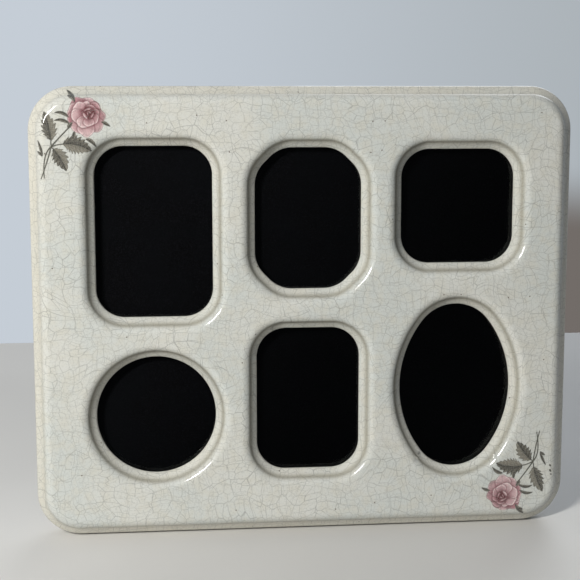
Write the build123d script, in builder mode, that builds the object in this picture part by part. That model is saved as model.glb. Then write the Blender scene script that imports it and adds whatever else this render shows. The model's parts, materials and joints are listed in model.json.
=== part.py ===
"""A glazed ceramic collage photo frame with six windows, standing on its own easel back.

Millimetres. +X runs across the frame, +Z is up and the frame faces -Y. It stands as in use, leaning back
on its lower rear edge and on the foot of the easel leg, which both touch Z = 0.
Across the frame's own section, "height" is counted out of the face from the plane of its back rim.
"""

import os
from math import acos, asin, atan2, cos, degrees, hypot, pi, radians, sin, sqrt

from build123d import *

os.makedirs("parts", exist_ok=True)

# How it stands
lean = 12.0
leg_opening = 23.0

# Ceramic body
frame_width = 260.0
frame_height = 216.0
frame_depth = 17.5
corner_radius = 21.0
web_thickness = 11.0
rim_width = 14.0
rebate_corner_radius = 8.0
rear_edge_radius = 1.5
rebate_edge = 0.6
side_draft = 0.5

# Moulding, the same two steps round the windows and round the outside
shoulder_depth = 3.3
lip_depth = 8.0
lip_round = 2.0
window_back_bevel = 1.5
window_band_width = 3.4
window_shoulder_width = 4.5
outer_band_width = 4.0
outer_shoulder_width = 4.5
overrun = 2.0

# Windows, measured at the lip
portrait_width = 55.5
portrait_corner = 13.7
octagon_width = 51.2
octagon_chamfer = 11.7
octagon_corner = 15.0
square_width = 55.0
square_corner = 13.5
tall_width = 50.0
tall_corner = 14.0
oval_half_width = 27.35
oval_end_radius = 20.5

# Places of the windows: columns from the centre line, rows from the outer edge as cast. A rail is the
# ceramic between the two windows of a column. They divide the clear height, and the share is the taller's.
left_column = 72.0
middle_column = 1.7
right_column = 74.5
left_rail = 19.5
middle_rail = 19.4
right_rail = 20.5
portrait_top_margin = 28.0
octagon_top_margin = 29.0
square_top_margin = 30.0
circle_bottom_margin = 29.9
tall_bottom_margin = 30.0
oval_bottom_margin = 29.2
portrait_share = 0.5873
tall_share = 0.508
oval_share = 0.5965

left_clear = frame_height - portrait_top_margin - left_rail - circle_bottom_margin
middle_clear = frame_height - octagon_top_margin - middle_rail - tall_bottom_margin
right_clear = frame_height - square_top_margin - right_rail - oval_bottom_margin
portrait_height = left_clear * portrait_share
circle_radius = (left_clear - portrait_height) / 2
tall_height = middle_clear * tall_share
octagon_height = middle_clear - tall_height
oval_half_height = right_clear * oval_share / 2
square_height = right_clear - 2 * oval_half_height

# What lies in the rebate, from the web backwards
glass_thickness = 2.0
card_thickness = 1.0
board_thickness = 3.0
covering_thickness = 0.5
rebate_clearance = 0.8
glass_clip_share = 0.62

# Turn buttons on the back rim
button_thickness = 1.0
button_head_radius = 4.6
button_tip_radius = 3.2
button_length = 14.0
button_gap = 0.2
top_button_spacing = 140.0
plug_radius = 3.4
plug_length = 6.5
plug_fit = 0.05
screw_radius = 1.4
screw_fit = 0.02
screw_reach = 5.5
screw_head_radius = 2.9
screw_head_height = 1.7
screw_slot_width = 0.7
screw_slot_depth = 0.7
screw_slot_turns = [20, 75, 140, 55, 100, 5]
button_clearance = 0.08
button_play = 0.1

# Easel hinge
hinge_height = 150.0
hinge_width = 26.0
barrel_radius = 1.8
barrel_lift = 0.3
pin_radius = 0.95
pin_clearance = 0.05
pin_fit = 0.02
pin_head_height = 0.6
pin_head_radius = 1.5
leaf_thickness = 0.8
leaf_length = 15.0
leaf_corner_radius = 3.0
knuckle_share = 0.4
knuckle_gap = 0.25
rivet_spacing = 14.0
rivet_inset = 5.0
rivet_radius = 1.3
rivet_head_radius = 2.5
rivet_head_height = 0.9
rivet_tail_depth = 0.9
rivet_tail_radius = 2.2
rivet_fit = 0.03

# Easel leg
leg_thickness = 2.0
leg_covering_thickness = 0.4
leg_top_width = 40.0
leg_foot_width = 62.0
leg_top_corner = 6.0
leg_top_gap = 0.6
foot_arch_width = 24.0
foot_arch_height = 6.5
leg_trim = 20.0

# Stay ribbon
ribbon_width = 10.0
ribbon_thickness = 0.4
ribbon_tab = 9.0
ribbon_board_reach = 102.0
ribbon_leg_reach = 84.0
eyelet_radius = 1.5
eyelet_bore = 1.0
eyelet_head_radius = 2.6
eyelet_head_height = 0.6
ribbon_bend = 1.2
ribbon_lift = 0.02

# Levels in the rebate, counted from the back rim
covering_back = 0.0
board_back = covering_back + covering_thickness
card_back = board_back + board_thickness
glass_back = card_back + card_thickness
web_back = frame_depth - web_thickness
lip_level = frame_depth - lip_depth

# Stance: the lower rear edge is rounded, and its lowest point lies on Z = 0
rear_arc_centre = side_draft + rear_edge_radius
edge_drop = rear_arc_centre * cos(radians(lean)) + rear_edge_radius * sin(radians(lean)) - rear_edge_radius
hinge_out = barrel_radius + barrel_lift
hinge_z = hinge_height * cos(radians(lean)) - hinge_out * sin(radians(lean)) - edge_drop
hinge_back = hinge_height * sin(radians(lean)) + hinge_out * cos(radians(lean))
leg_slope = leg_opening - lean

# The leg's section across its thickness, counted from the hinge axis towards the board
leg_leaf_back = -barrel_radius
leg_covering_back = leg_leaf_back + leaf_thickness
leg_back = leg_covering_back + leg_covering_thickness
leg_front = leg_back + leg_thickness


def tangent_radius(run, drop):
    """Radius of the arc that leaves a straight line smoothly and falls by the drop along the run."""
    return (run**2 + drop**2) / (2 * drop)


# The origin lies under the middle of everything, so the depth is worked out before the planes are set
shoulder_radius = tangent_radius(outer_shoulder_width, shoulder_depth)
front_reach = (
    (frame_depth - shoulder_radius) * cos(radians(lean))
    + shoulder_radius
    - (outer_band_width + outer_shoulder_width) * sin(radians(lean))
)
foot_run = (hinge_z - leg_covering_back * sin(radians(leg_slope))) / cos(radians(leg_slope))
foot_reach = (
    hinge_back
    + foot_run * sin(radians(leg_slope))
    - leg_covering_back * cos(radians(leg_slope))
)
rear_edge_y = (front_reach - foot_reach) / 2

face_normal = (0, -cos(radians(lean)), sin(radians(lean)))
body_plane = Plane(origin=(0, rear_edge_y, -edge_drop), x_dir=(1, 0, 0), z_dir=face_normal)
leg_normal = (0, -cos(radians(leg_slope)), -sin(radians(leg_slope)))
leg_plane = Plane(origin=(0, rear_edge_y + hinge_back, hinge_z), x_dir=(1, 0, 0), z_dir=leg_normal)
out_of_face = Axis(body_plane.origin, body_plane.z_dir)
middle = frame_height / 2


# Windows

portrait_place = (-left_column, frame_height - portrait_top_margin - portrait_height / 2)
octagon_place = (middle_column, frame_height - octagon_top_margin - octagon_height / 2)
square_place = (right_column, frame_height - square_top_margin - square_height / 2)
circle_place = (-left_column, circle_bottom_margin + circle_radius)
tall_place = (middle_column, tall_bottom_margin + tall_height / 2)
oval_place = (right_column, oval_bottom_margin + oval_half_height)


def octagon_sketch(inset):
    """Rectangle with cut corners, all eight vertices well rounded."""
    across = octagon_width / 2 - inset
    up = octagon_height / 2 - inset
    cut = octagon_chamfer - inset * (2 - sqrt(2))
    with BuildSketch() as octagon:
        with BuildLine():
            Polyline(
                (across, up - cut),
                (across - cut, up),
                (cut - across, up),
                (-across, up - cut),
                (-across, cut - up),
                (cut - across, -up),
                (across - cut, -up),
                (across, cut - up),
                close=True,
            )
        make_face()
        fillet(octagon.vertices(), radius=octagon_corner - inset)
    return octagon.sketch


def oval_sketch(inset):
    """Oval of four arcs, each running smoothly into the next."""
    half_width = oval_half_width - inset
    end_radius = oval_end_radius - inset
    end_centre = oval_half_height - oval_end_radius
    side_radius = (half_width**2 + end_centre**2 - end_radius**2) / (2 * (half_width - end_radius))
    side_centre = side_radius - half_width
    turn = degrees(asin(end_centre / (side_radius - end_radius)))
    with BuildSketch() as oval:
        with BuildLine():
            CenterArc((-side_centre, 0), side_radius, start_angle=-turn, arc_size=2 * turn)
            CenterArc((0, end_centre), end_radius, start_angle=turn, arc_size=180 - 2 * turn)
            CenterArc((side_centre, 0), side_radius, start_angle=180 - turn, arc_size=2 * turn)
            CenterArc((0, -end_centre), end_radius, start_angle=180 + turn, arc_size=180 - 2 * turn)
        make_face()
    return oval.sketch


def draw_window(name, inset=0.0):
    """One window's outline at its lip, or the same outline drawn smaller by the inset."""
    if name == "portrait":
        with Locations(portrait_place):
            RectangleRounded(
                portrait_width - 2 * inset, portrait_height - 2 * inset, portrait_corner - inset
            )
    elif name == "octagon":
        with Locations(octagon_place):
            add(octagon_sketch(inset))
    elif name == "square":
        with Locations(square_place):
            RectangleRounded(square_width - 2 * inset, square_height - 2 * inset, square_corner - inset)
    elif name == "circle":
        with Locations(circle_place):
            Circle(circle_radius - inset)
    elif name == "tall":
        with Locations(tall_place):
            RectangleRounded(tall_width - 2 * inset, tall_height - 2 * inset, tall_corner - inset)
    else:
        with Locations(oval_place):
            add(oval_sketch(inset))


window_names = ["portrait", "octagon", "square", "circle", "tall", "oval"]


# Moulding


def section_plane(path, towards_inside):
    """Plane square to a closed outline at its start, X away from the moulding's edge, Y out of the face."""
    start = path.position_at(0)
    along = path.tangent_at(0)
    away = along.cross(body_plane.z_dir)
    outward = away.dot(start - path.center()) > 0
    if outward == towards_inside:
        away = away * -1
    return Plane(origin=start, x_dir=away, z_dir=away.cross(body_plane.z_dir))


def moulding_curve(band_width, shoulder_width):
    """Shoulder, sloping band and rounded lip, down from the face to the lip, the section's origin."""
    shoulder = tangent_radius(shoulder_width, shoulder_depth)
    JernArc(
        start=(band_width + shoulder_width, lip_depth),
        tangent=(-1, 0),
        radius=shoulder,
        arc_size=degrees(asin(shoulder_width / shoulder)),
    )
    foot = (band_width, lip_depth - shoulder_depth)
    across = band_width - lip_round
    distance = hypot(across, foot[1])
    turn = pi - atan2(foot[1], across) - acos(lip_round / distance)
    lip = JernArc(start=(0, 0), tangent=(0, 1), radius=lip_round, arc_size=-degrees(turn))
    Line(lip @ 1, foot)


back_level = lip_depth - web_thickness
rear_level = -lip_level

# Cut away round a window: the moulding in front of the lip and the bevel behind it
with BuildSketch() as window_section:
    with BuildLine():
        moulding_curve(window_band_width, window_shoulder_width)
        Polyline(
            (0, 0),
            (window_back_bevel, back_level),
            (window_back_bevel, back_level - overrun),
            (-2 * overrun, back_level - overrun),
            (-2 * overrun, lip_depth + overrun),
            (window_band_width + window_shoulder_width, lip_depth + overrun),
            (window_band_width + window_shoulder_width, lip_depth),
        )
    make_face()

# Cut away round the outside: the moulding, the drafted side wall and the rounded rear edge
with BuildSketch() as outer_section:
    with BuildLine():
        moulding_curve(outer_band_width, outer_shoulder_width)
        Line((0, 0), (side_draft, rear_level + rear_edge_radius))
        CenterArc(
            (rear_arc_centre, rear_level + rear_edge_radius),
            rear_edge_radius,
            start_angle=180,
            arc_size=90,
        )
        Polyline(
            (rear_arc_centre, rear_level),
            (rear_arc_centre, rear_level - overrun),
            (-2 * overrun, rear_level - overrun),
            (-2 * overrun, lip_depth + overrun),
            (outer_band_width + outer_shoulder_width, lip_depth + overrun),
            (outer_band_width + outer_shoulder_width, lip_depth),
        )
    make_face()


def discs(plane, spots, radius):
    """Equal discs at the given spots of a plane."""
    with BuildSketch(plane) as rounds:
        with Locations(*spots):
            Circle(radius)
    return rounds.sketch


# Ceramic body

button_inset = rim_width / 2
button_u = frame_width / 2 - button_inset
button_places = {
    "top_left": (-top_button_spacing / 2, frame_height - button_inset, -90),
    "top_right": (top_button_spacing / 2, frame_height - button_inset, -90),
    "bottom_left": (-top_button_spacing / 2, button_inset, 90),
    "bottom_right": (top_button_spacing / 2, button_inset, 90),
    "side_left": (-button_u, middle, 0),
    "side_right": (button_u, middle, 180),
}
plug_spots = [(u, v) for u, v, turn in button_places.values()]

lip_plane = body_plane.offset(lip_level)
with BuildSketch(lip_plane) as outline:
    with Locations((0, middle)):
        RectangleRounded(frame_width, frame_height, corner_radius)

outer_path = outline.sketch.face().outer_wire()
window_paths = {}
for name in window_names:
    with BuildSketch(lip_plane) as lip:
        draw_window(name)
    window_paths[name] = lip.sketch.face().outer_wire()

with BuildPart() as ceramic_frame:
    with BuildSketch(body_plane):
        with Locations((0, middle)):
            RectangleRounded(
                frame_width + overrun, frame_height + overrun, corner_radius + overrun / 2
            )
    extrude(amount=frame_depth)
    with BuildSketch(section_plane(outer_path, towards_inside=True)):
        add(outer_section.sketch)
    sweep(path=outer_path, mode=Mode.SUBTRACT)
    for name in window_names:
        with BuildSketch(section_plane(window_paths[name], towards_inside=False)):
            add(window_section.sketch)
        sweep(path=window_paths[name], mode=Mode.SUBTRACT)
        with BuildSketch(body_plane.offset(-overrun)):
            draw_window(name, inset=overrun)
        extrude(amount=frame_depth + 2 * overrun, mode=Mode.SUBTRACT)
    with BuildSketch(body_plane):
        with Locations((0, middle)):
            RectangleRounded(
                frame_width - 2 * rim_width, frame_height - 2 * rim_width, rebate_corner_radius
            )
    extrude(amount=web_back, mode=Mode.SUBTRACT)
    rim_face = ceramic_frame.faces().sort_by(out_of_face)[0]
    chamfer(rim_face.inner_wires()[0].edges(), length=rebate_edge)
    plug_holes = discs(body_plane, plug_spots, plug_radius + plug_fit)
    extrude(plug_holes, amount=plug_length + plug_fit, mode=Mode.SUBTRACT)
ceramic_frame.part.label = "ceramic_frame"
export_step(ceramic_frame.part, "parts/ceramic_frame.step")


# What lies in the rebate

filling_width = frame_width - 2 * (rim_width + rebate_clearance)
filling_height = frame_height - 2 * (rim_width + rebate_clearance)
filling_corner = rebate_corner_radius - rebate_clearance


def filling_sheet(level):
    """Outline shared by the card, the board and its covering, at one level of the rebate."""
    with BuildSketch(body_plane.offset(level)) as sheet:
        with Locations((0, middle)):
            RectangleRounded(filling_width, filling_height, filling_corner)
    return sheet.sketch


# The pane is cut square and its corners are snipped to clear the rebate's rounds
with BuildPart() as glass_pane:
    with BuildSketch(body_plane.offset(glass_back)):
        with Locations((0, middle)):
            pane = Rectangle(filling_width, filling_height)
        chamfer(pane.vertices(), length=glass_clip_share * filling_corner)
    extrude(amount=glass_thickness)
glass_pane.part.label = "glass_pane"
export_step(glass_pane.part, "parts/glass_pane.step")

with BuildPart() as mount_card:
    extrude(filling_sheet(card_back), amount=card_thickness)
mount_card.part.label = "mount_card"
export_step(mount_card.part, "parts/mount_card.step")

leaf_rivet_run = leaf_length - rivet_inset
board_rivet_v = hinge_height + leaf_rivet_run
board_rivet_spots = [(-rivet_spacing / 2, board_rivet_v), (rivet_spacing / 2, board_rivet_v)]
board_eyelet_spots = [(0, hinge_height - ribbon_board_reach - ribbon_tab / 2)]
rivet_hole = rivet_radius + rivet_fit
eyelet_hole = eyelet_radius + rivet_fit
rivet_flare = degrees(atan2(rivet_tail_radius - rivet_radius, rivet_tail_depth))

# Rivets and eyelet are spread in countersinks on the board's front, so the card lies flat on it
with BuildPart() as back_board:
    extrude(filling_sheet(board_back), amount=board_thickness)
    for spots, hole in ((board_rivet_spots, rivet_hole), (board_eyelet_spots, eyelet_hole)):
        extrude(discs(body_plane, spots, hole), amount=card_back, mode=Mode.SUBTRACT)
        flare_start = body_plane.offset(card_back - rivet_tail_depth)
        extrude(
            discs(flare_start, spots, hole), amount=rivet_tail_depth, taper=-rivet_flare, mode=Mode.SUBTRACT
        )
back_board.part.label = "back_board"
export_step(back_board.part, "parts/back_board.step")

with BuildPart() as back_covering:
    extrude(filling_sheet(covering_back), amount=covering_thickness)
    for spots, hole in ((board_rivet_spots, rivet_hole), (board_eyelet_spots, eyelet_hole)):
        extrude(discs(body_plane, spots, hole), amount=board_back, mode=Mode.SUBTRACT)
back_covering.part.label = "back_covering"
export_step(back_covering.part, "parts/back_covering.step")


# Turn buttons, their screws and the plugs that take the screws

screw_seat = button_gap + button_thickness + button_play

for place, (u, v, turn) in button_places.items():
    node = f"turn_button_{place}"
    with BuildPart() as turn_button:
        with BuildSketch(body_plane.offset(-button_gap)):
            with Locations(Location((u, v, 0), (0, 0, turn))):
                with BuildSketch(mode=Mode.PRIVATE) as tongue:
                    Circle(button_head_radius)
                    with Locations((button_length - button_tip_radius, 0)):
                        Circle(button_tip_radius)
                    make_hull()
                add(tongue.sketch)
                Circle(screw_radius + button_clearance, mode=Mode.SUBTRACT)
        extrude(amount=-button_thickness)
    turn_button.part.label = node
    export_step(turn_button.part, f"parts/{node}.step")

with BuildPart() as button_screws:
    seat_plane = body_plane.offset(-screw_seat)
    extrude(discs(seat_plane, plug_spots, screw_head_radius), amount=-screw_head_height)
    with BuildSketch(seat_plane.offset(-screw_head_height)):
        for spot, slot_turn in zip(plug_spots, screw_slot_turns):
            with Locations(Location((*spot, 0), (0, 0, slot_turn))):
                Rectangle(2 * screw_head_radius, screw_slot_width)
    extrude(amount=screw_slot_depth, mode=Mode.SUBTRACT)
    extrude(discs(seat_plane, plug_spots, screw_radius), amount=screw_seat + screw_reach)
button_screws.part.label = "button_screws"
export_step(button_screws.part, "parts/button_screws.step")

with BuildPart() as rim_plugs:
    extrude(discs(body_plane, plug_spots, plug_radius), amount=plug_length)
    screw_bores = discs(body_plane, plug_spots, screw_radius + screw_fit)
    extrude(screw_bores, amount=screw_reach + screw_fit, mode=Mode.SUBTRACT)
rim_plugs.part.label = "rim_plugs"
export_step(rim_plugs.part, "parts/rim_plugs.step")


# Easel hinge

knuckle_width = knuckle_share * hinge_width
knuckle_start = (hinge_width - knuckle_width) / 2
notch = barrel_radius + knuckle_gap
hinge_side = Plane(
    origin=leg_plane.from_local_coords((-hinge_width / 2, 0, 0)), x_dir=body_plane.y_dir, z_dir=(1, 0, 0)
)
hinge_centre = [(0, 0)]


def leaf_plate(plane, direction):
    """One leaf, up or down from the plane's X axis: its far corners rounded, two rivet holes in it."""
    with BuildSketch(plane) as leaf:
        with Locations((0, direction * leaf_length / 2)):
            plate = Rectangle(hinge_width, leaf_length)
        far_corners = plate.vertices().sort_by(Axis.Y)[::direction][2:]
        fillet(far_corners, radius=leaf_corner_radius)
        with Locations((0, direction * leaf_rivet_run)):
            with Locations((-rivet_spacing / 2, 0), (rivet_spacing / 2, 0)):
                Circle(rivet_hole, mode=Mode.SUBTRACT)
    return leaf.sketch


with BuildPart() as hinge_board_leaf:
    hinge_line = Plane(
        origin=body_plane.from_local_coords((0, hinge_height, 0)), x_dir=(1, 0, 0), z_dir=face_normal
    )
    extrude(leaf_plate(hinge_line, 1), amount=-leaf_thickness)
    extrude(discs(hinge_side, hinge_centre, barrel_radius), amount=hinge_width)
    with BuildSketch(hinge_side.offset(knuckle_start - knuckle_gap)):
        Rectangle(2 * notch, 2 * (hinge_out + overrun))
    extrude(amount=knuckle_width + 2 * knuckle_gap, mode=Mode.SUBTRACT)
    extrude(
        discs(hinge_side, hinge_centre, pin_radius + pin_fit), amount=hinge_width, mode=Mode.SUBTRACT
    )
hinge_board_leaf.part.label = "hinge_board_leaf"
export_step(hinge_board_leaf.part, "parts/hinge_board_leaf.step")

with BuildPart() as hinge_leg_leaf:
    extrude(leaf_plate(leg_plane.offset(leg_leaf_back), -1), amount=leaf_thickness)
    for start in (0, knuckle_start + knuckle_width):
        room = discs(hinge_side.offset(start), hinge_centre, notch)
        extrude(room, amount=knuckle_start, mode=Mode.SUBTRACT)
    middle_knuckle = discs(hinge_side.offset(knuckle_start), hinge_centre, barrel_radius)
    extrude(middle_knuckle, amount=knuckle_width)
    bore = discs(hinge_side, hinge_centre, pin_radius + pin_clearance)
    extrude(bore, amount=hinge_width, mode=Mode.SUBTRACT)
hinge_leg_leaf.part.label = "hinge_leg_leaf"
export_step(hinge_leg_leaf.part, "parts/hinge_leg_leaf.step")

with BuildPart() as hinge_pin:
    extrude(discs(hinge_side, hinge_centre, pin_radius), amount=hinge_width)
    extrude(discs(hinge_side, hinge_centre, pin_head_radius), amount=-pin_head_height)
    far_side = hinge_side.offset(hinge_width)
    extrude(discs(far_side, hinge_centre, pin_head_radius), amount=pin_head_height)
hinge_pin.part.label = "hinge_pin"
export_step(hinge_pin.part, "parts/hinge_pin.step")

with BuildPart() as board_rivets:
    leaf_back = body_plane.offset(-leaf_thickness)
    extrude(discs(leaf_back, board_rivet_spots, rivet_head_radius), amount=-rivet_head_height)
    extrude(discs(leaf_back, board_rivet_spots, rivet_radius), amount=leaf_thickness + card_back)
    flare_start = body_plane.offset(card_back - rivet_tail_depth)
    extrude(
        discs(flare_start, board_rivet_spots, rivet_radius), amount=rivet_tail_depth, taper=-rivet_flare
    )
board_rivets.part.label = "board_rivets"
export_step(board_rivets.part, "parts/board_rivets.step")


# Easel leg

leg_top = -(barrel_radius + leg_top_gap)
leg_rivet_spots = [(-rivet_spacing / 2, -leaf_rivet_run), (rivet_spacing / 2, -leaf_rivet_run)]
leg_eyelet_spots = [(0, ribbon_tab / 2 - ribbon_leg_reach)]
arch_radius = tangent_radius(foot_arch_width / 2, foot_arch_height)


def leg_outline(level):
    """The leg's outline, longer than the leg, with the arch that leaves two feet."""
    with BuildSketch(leg_plane.offset(level)) as leg:
        with BuildLine():
            Polyline(
                (leg_top_width / 2, leg_top),
                (-leg_top_width / 2, leg_top),
                (-leg_foot_width / 2, -foot_run),
                (-leg_foot_width / 2, -foot_run - leg_trim),
                (leg_foot_width / 2, -foot_run - leg_trim),
                (leg_foot_width / 2, -foot_run),
                close=True,
            )
        outline = make_face()
        fillet(outline.vertices().sort_by(Axis.Y)[-2:], radius=leg_top_corner)
        with Locations((0, foot_arch_height - arch_radius - foot_run)):
            Circle(arch_radius, mode=Mode.SUBTRACT)
    return leg.sketch


# The foot is cut off flat along the floor
with BuildPart() as easel_leg:
    extrude(leg_outline(leg_back), amount=leg_thickness)
    split(bisect_by=Plane.XY, keep=Keep.TOP)
    rear = leg_plane.offset(leg_back)
    extrude(discs(rear, leg_rivet_spots, rivet_hole), amount=leg_thickness, mode=Mode.SUBTRACT)
    extrude(discs(rear, leg_eyelet_spots, eyelet_hole), amount=leg_thickness, mode=Mode.SUBTRACT)
    rivet_sink = discs(leg_plane.offset(leg_front - rivet_tail_depth), leg_rivet_spots, rivet_hole)
    extrude(rivet_sink, amount=rivet_tail_depth, taper=-rivet_flare, mode=Mode.SUBTRACT)
    eyelet_sink = discs(leg_plane.offset(leg_back + rivet_tail_depth), leg_eyelet_spots, eyelet_hole)
    extrude(eyelet_sink, amount=-rivet_tail_depth, taper=-rivet_flare, mode=Mode.SUBTRACT)
easel_leg.part.label = "easel_leg"
export_step(easel_leg.part, "parts/easel_leg.step")

with BuildPart() as leg_covering:
    extrude(leg_outline(leg_covering_back), amount=leg_covering_thickness)
    split(bisect_by=Plane.XY, keep=Keep.TOP)
    rear = leg_plane.offset(leg_covering_back)
    extrude(discs(rear, leg_rivet_spots, rivet_hole), amount=leg_covering_thickness, mode=Mode.SUBTRACT)
leg_covering.part.label = "leg_covering"
export_step(leg_covering.part, "parts/leg_covering.step")

with BuildPart() as leg_rivets:
    leaf_back = leg_plane.offset(leg_leaf_back)
    extrude(discs(leaf_back, leg_rivet_spots, rivet_head_radius), amount=-rivet_head_height)
    extrude(discs(leaf_back, leg_rivet_spots, rivet_radius), amount=leg_front - leg_leaf_back)
    flare_start = leg_plane.offset(leg_front - rivet_tail_depth)
    extrude(discs(flare_start, leg_rivet_spots, rivet_radius), amount=rivet_tail_depth, taper=-rivet_flare)
leg_rivets.part.label = "leg_rivets"
export_step(leg_rivets.part, "parts/leg_rivets.step")


# Stay ribbon, pulled straight between the board and the open leg, its two ends held by eyelets

side_plane = Plane(origin=(0, 0, 0), x_dir=(0, 1, 0), z_dir=(1, 0, 0))
ribbon_middle = ribbon_lift + ribbon_thickness / 2
ribbon_top = ribbon_lift + ribbon_thickness


def ribbon_point(plane, reach, level):
    """A point of the ribbon's middle line, at a reach below the hinge, seen from the side."""
    point = plane.from_local_coords((0, -reach, level))
    return (point.Y, point.Z)


on_board = body_plane.offset(-ribbon_middle)
board_start = hinge_height - ribbon_board_reach
leg_level = leg_front + ribbon_middle

with BuildPart() as stay_ribbon:
    with BuildSketch(side_plane):
        with BuildLine():
            FilletPolyline(
                ribbon_point(on_board, ribbon_tab - board_start, 0),
                ribbon_point(on_board, -board_start, 0),
                ribbon_point(leg_plane, ribbon_leg_reach, leg_level),
                ribbon_point(leg_plane, ribbon_leg_reach - ribbon_tab, leg_level),
                radius=ribbon_bend,
            )
        trace(line_width=ribbon_thickness)
    extrude(amount=ribbon_width / 2, both=True)
    extrude(discs(body_plane, board_eyelet_spots, eyelet_hole), amount=-ribbon_top, mode=Mode.SUBTRACT)
    leg_face = leg_plane.offset(leg_front)
    extrude(discs(leg_face, leg_eyelet_spots, eyelet_hole), amount=ribbon_top, mode=Mode.SUBTRACT)
stay_ribbon.part.label = "stay_ribbon"
export_step(stay_ribbon.part, "parts/stay_ribbon.step")

with BuildPart() as board_eyelet:
    ribbon_back = body_plane.offset(-ribbon_top)
    extrude(discs(ribbon_back, board_eyelet_spots, eyelet_head_radius), amount=-eyelet_head_height)
    extrude(discs(ribbon_back, board_eyelet_spots, eyelet_radius), amount=ribbon_top + card_back)
    flare_start = body_plane.offset(card_back - rivet_tail_depth)
    extrude(
        discs(flare_start, board_eyelet_spots, eyelet_radius), amount=rivet_tail_depth, taper=-rivet_flare
    )
    bore = discs(ribbon_back.offset(-eyelet_head_height), board_eyelet_spots, eyelet_bore)
    extrude(bore, amount=eyelet_head_height + ribbon_top + card_back, mode=Mode.SUBTRACT)
board_eyelet.part.label = "board_eyelet"
export_step(board_eyelet.part, "parts/board_eyelet.step")

with BuildPart() as leg_eyelet:
    ribbon_front = leg_plane.offset(leg_front + ribbon_top)
    shank = ribbon_top + leg_thickness
    extrude(discs(ribbon_front, leg_eyelet_spots, eyelet_head_radius), amount=eyelet_head_height)
    extrude(discs(ribbon_front, leg_eyelet_spots, eyelet_radius), amount=-shank)
    flare_start = leg_plane.offset(leg_back + rivet_tail_depth)
    extrude(
        discs(flare_start, leg_eyelet_spots, eyelet_radius), amount=-rivet_tail_depth, taper=-rivet_flare
    )
    bore = discs(ribbon_front.offset(eyelet_head_height), leg_eyelet_spots, eyelet_bore)
    extrude(bore, amount=-eyelet_head_height - shank, mode=Mode.SUBTRACT)
leg_eyelet.part.label = "leg_eyelet"
export_step(leg_eyelet.part, "parts/leg_eyelet.step")
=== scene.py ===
"""Looks of the ceramic collage photo frame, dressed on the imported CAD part.

The glazed body is one fine mesh, and the two rose sprays are thin painted films that lie on its glaze.
The other pieces are the CAD nodes with softened edges and procedural materials.
Sizes are millimetres in the frame's own section: u across, v up the face, w out of the face from the
back rim. They are turned into metres and the row frame when a mesh is made.
"""

import json
from math import acos, asin, atan2, ceil, cos, hypot, pi, radians, sin, tan

import bpy
import numpy as np
from mathutils import Euler, Matrix, Vector
from mathutils.geometry import delaunay_2d_cdt


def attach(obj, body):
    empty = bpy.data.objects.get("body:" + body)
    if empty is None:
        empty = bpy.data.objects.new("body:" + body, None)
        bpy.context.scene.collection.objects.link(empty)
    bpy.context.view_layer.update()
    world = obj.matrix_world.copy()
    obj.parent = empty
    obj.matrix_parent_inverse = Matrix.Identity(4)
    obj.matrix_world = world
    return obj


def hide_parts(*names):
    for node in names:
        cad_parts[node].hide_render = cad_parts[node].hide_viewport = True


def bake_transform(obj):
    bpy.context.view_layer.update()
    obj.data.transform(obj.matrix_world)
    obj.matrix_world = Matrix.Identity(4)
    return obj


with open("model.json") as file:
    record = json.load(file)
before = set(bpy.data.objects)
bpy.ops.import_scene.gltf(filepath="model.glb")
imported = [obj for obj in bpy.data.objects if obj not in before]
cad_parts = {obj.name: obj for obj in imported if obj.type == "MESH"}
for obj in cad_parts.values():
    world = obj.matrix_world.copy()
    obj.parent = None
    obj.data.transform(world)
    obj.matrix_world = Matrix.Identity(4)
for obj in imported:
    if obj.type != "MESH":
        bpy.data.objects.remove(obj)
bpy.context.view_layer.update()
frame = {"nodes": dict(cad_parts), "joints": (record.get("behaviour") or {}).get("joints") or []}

MM = 0.001
least_gap = 1e-6
joining_gap = 1e-7

# Ceramic body, as in the part's source
frame_width = 260.0
frame_height = 216.0
frame_depth = 17.5
corner_radius = 21.0
web_thickness = 11.0
rim_width = 14.0
rebate_corner_radius = 8.0
rebate_edge = 0.6
rear_edge_radius = 1.5
side_draft = 0.5
shoulder_depth = 3.3
lip_depth = 8.0
lip_round = 2.0
window_back_bevel = 1.5
window_band_width = 3.4
window_shoulder_width = 4.5
outer_band_width = 4.0
outer_shoulder_width = 4.5

# Windows, as in the part's source
portrait_width = 55.5
portrait_corner = 13.7
octagon_width = 51.2
octagon_chamfer = 11.7
octagon_corner = 15.0
square_width = 55.0
square_corner = 13.5
tall_width = 50.0
tall_corner = 14.0
oval_half_width = 27.35
oval_end_radius = 20.5
left_column = 72.0
middle_column = 1.7
right_column = 74.5
left_rail = 19.5
middle_rail = 19.4
right_rail = 20.5
portrait_top_margin = 28.0
octagon_top_margin = 29.0
square_top_margin = 30.0
circle_bottom_margin = 29.9
tall_bottom_margin = 30.0
oval_bottom_margin = 29.2
portrait_share = 0.5873
tall_share = 0.508
oval_share = 0.5965

# Buttons, hinge and ribbon, as in the part's source
leg_opening = 23.0
top_button_spacing = 140.0
button_gap = 0.2
plug_radius = 3.4
plug_fit = 0.05
plug_length = 6.5
hinge_height = 150.0
barrel_radius = 1.8
leaf_thickness = 0.8
leg_covering_thickness = 0.4
leg_thickness = 2.0
ribbon_width = 10.0
ribbon_thickness = 0.4
ribbon_tab = 9.0
ribbon_board_reach = 102.0
ribbon_leg_reach = 84.0
ribbon_bend = 1.2
ribbon_lift = 0.02

# Worked out
middle = frame_height / 2
web_back = frame_depth - web_thickness
lip_level = frame_depth - lip_depth


# Planes

joints = {joint["name"]: joint for joint in frame["joints"]}
side_joint = joints["button_side_left_turn"]
hinge_joint = joints["leg_hinge"]
across = Vector((1, 0, 0))


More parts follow.
